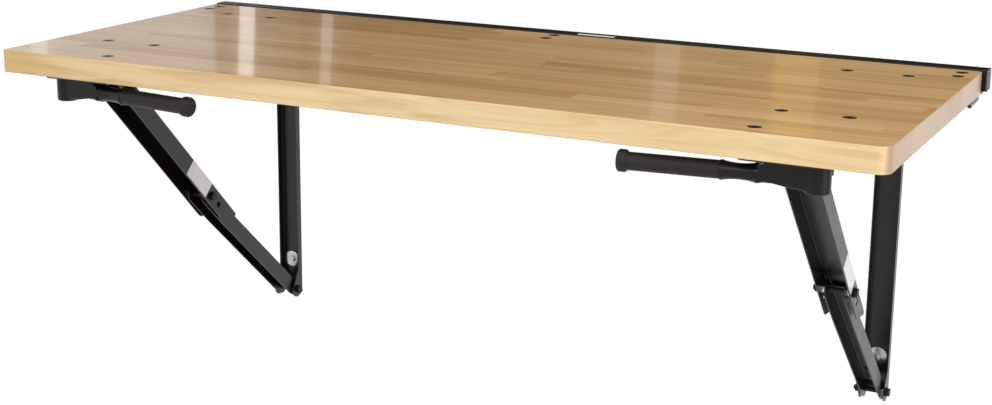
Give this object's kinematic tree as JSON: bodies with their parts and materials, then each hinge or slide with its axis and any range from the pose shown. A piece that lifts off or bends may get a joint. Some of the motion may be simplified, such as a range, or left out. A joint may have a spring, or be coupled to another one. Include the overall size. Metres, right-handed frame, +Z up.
{
  "type": "wall mounted folding workbench",
  "caption": "Butcher block workbench on a steel wall rail and posts, with folding legs and grab handles that swing out from under its front edge.",
  "frame": {"origin": "middle of the rail's length, on its rear face and the wall plane, 19 mm below its top and the work surface", "axes": "+Y into the wall, -Y towards the user, +X to the right as the user faces the wall, +Z up"},
  "size_m": [1.845, 0.8059, 0.726],
  "materials": {
    "butcher_block": "gloss lacquer",
    "powder_coat": "satin black powder coat",
    "handle_plastic": "satin",
    "grip_rubber": "matt",
    "black_plastic": "matt",
    "black_bolts": "black oxide",
    "zinc_steel": "zinc plated",
    "label_film": "satin, blank"
  },
  "bodies": {
    "wall_frame": {"wall_rail": "powder_coat", "rail_cap_left": "black_plastic", "rail_cap_right": "black_plastic", "rail_screws": "zinc_steel", "post_left": "powder_coat", "post_right": "powder_coat", "post_screws": "zinc_steel", "post_washers": "zinc_steel", "hinge_arm_left": "powder_coat", "hinge_arm_middle": "powder_coat", "hinge_arm_right": "powder_coat", "foot_bolt_left": "zinc_steel", "foot_bolt_right": "zinc_steel", "foot_spacers_left": "zinc_steel", "foot_spacers_right": "zinc_steel"},
    "lower_leg_l": {"lower_leg_left": "powder_coat"},
    "lower_leg_r": {"lower_leg_right": "powder_coat"},
    "upper_leg_l": {"upper_leg_left": "powder_coat", "knee_bolt_left": "zinc_steel", "knee_spacers_left": "zinc_steel", "blank_label_left": "label_film"},
    "upper_leg_r": {"upper_leg_right": "powder_coat", "knee_bolt_right": "zinc_steel", "knee_spacers_right": "zinc_steel", "blank_label_right": "label_film"},
    "top": {"bench_top": "butcher_block", "top_bolts": "black_bolts", "top_nuts": "zinc_steel", "front_bracket_left": "powder_coat", "front_bracket_right": "powder_coat", "arm_bolt_left": "black_bolts", "arm_bolt_right": "black_bolts", "main_hinge_plate_left": "powder_coat", "main_hinge_plate_right": "powder_coat", "main_hinge_pin_left": "zinc_steel", "main_hinge_pin_right": "zinc_steel", "hinge_leaf_left": "powder_coat", "hinge_leaf_middle": "powder_coat", "hinge_leaf_right": "powder_coat", "rail_hinge_pins": "zinc_steel", "handle_bolt_left": "zinc_steel", "handle_bolt_right": "zinc_steel"},
    "handle_l": {"handle_arm_left": "handle_plastic", "handle_grip_left": "grip_rubber"},
    "handle_r": {"handle_arm_right": "handle_plastic", "handle_grip_right": "grip_rubber"}
  },
  "joints": [
    {"name": "knee_left", "type": "hinge", "parent": "lower_leg_l", "child": "upper_leg_l", "pos_m": [-0.737, -0.377, -0.364], "axis": [1, 0, 0], "range_deg": [0, 179.46]},
    {"name": "foot_left", "type": "hinge", "parent": "wall_frame", "child": "lower_leg_l", "pos_m": [-0.737, -0.0245, -0.687], "axis": [-1, 0, 0], "range_deg": [0, 46.26]},
    {"name": "top_tilt", "type": "hinge", "parent": "upper_leg_l", "child": "top", "pos_m": [-0.737, -0.662, -0.066], "axis": [-1, 0, 0], "range_deg": [0, 43.24]},
    {"name": "foot_right", "type": "hinge", "parent": "wall_frame", "child": "lower_leg_r", "pos_m": [0.737, -0.0245, -0.687], "axis": [-1, 0, 0], "range_deg": [0, 46.26]},
    {"name": "knee_right", "type": "hinge", "parent": "lower_leg_r", "child": "upper_leg_r", "pos_m": [0.737, -0.377, -0.364], "axis": [1, 0, 0], "range_deg": [0, 179.48]},
    {"name": "handle_swing_left", "type": "hinge", "parent": "top", "child": "handle_l", "pos_m": [-0.788, -0.747, -0.06], "axis": [0, 0, -1], "range_deg": [0, 84]},
    {"name": "handle_swing_right", "type": "hinge", "parent": "top", "child": "handle_r", "pos_m": [0.788, -0.747, -0.06], "axis": [0, 0, 1], "range_deg": [0, 84]}
  ],
  "couplings": [
    {"joint": "foot_left", "follows": "knee_left", "ratio": 0.25767},
    {"joint": "foot_right", "follows": "knee_left", "ratio": 0.25767},
    {"joint": "knee_right", "follows": "knee_left", "ratio": 1},
    {"joint": "top_tilt", "follows": "knee_left", "ratio": 0.24083}
  ]
}
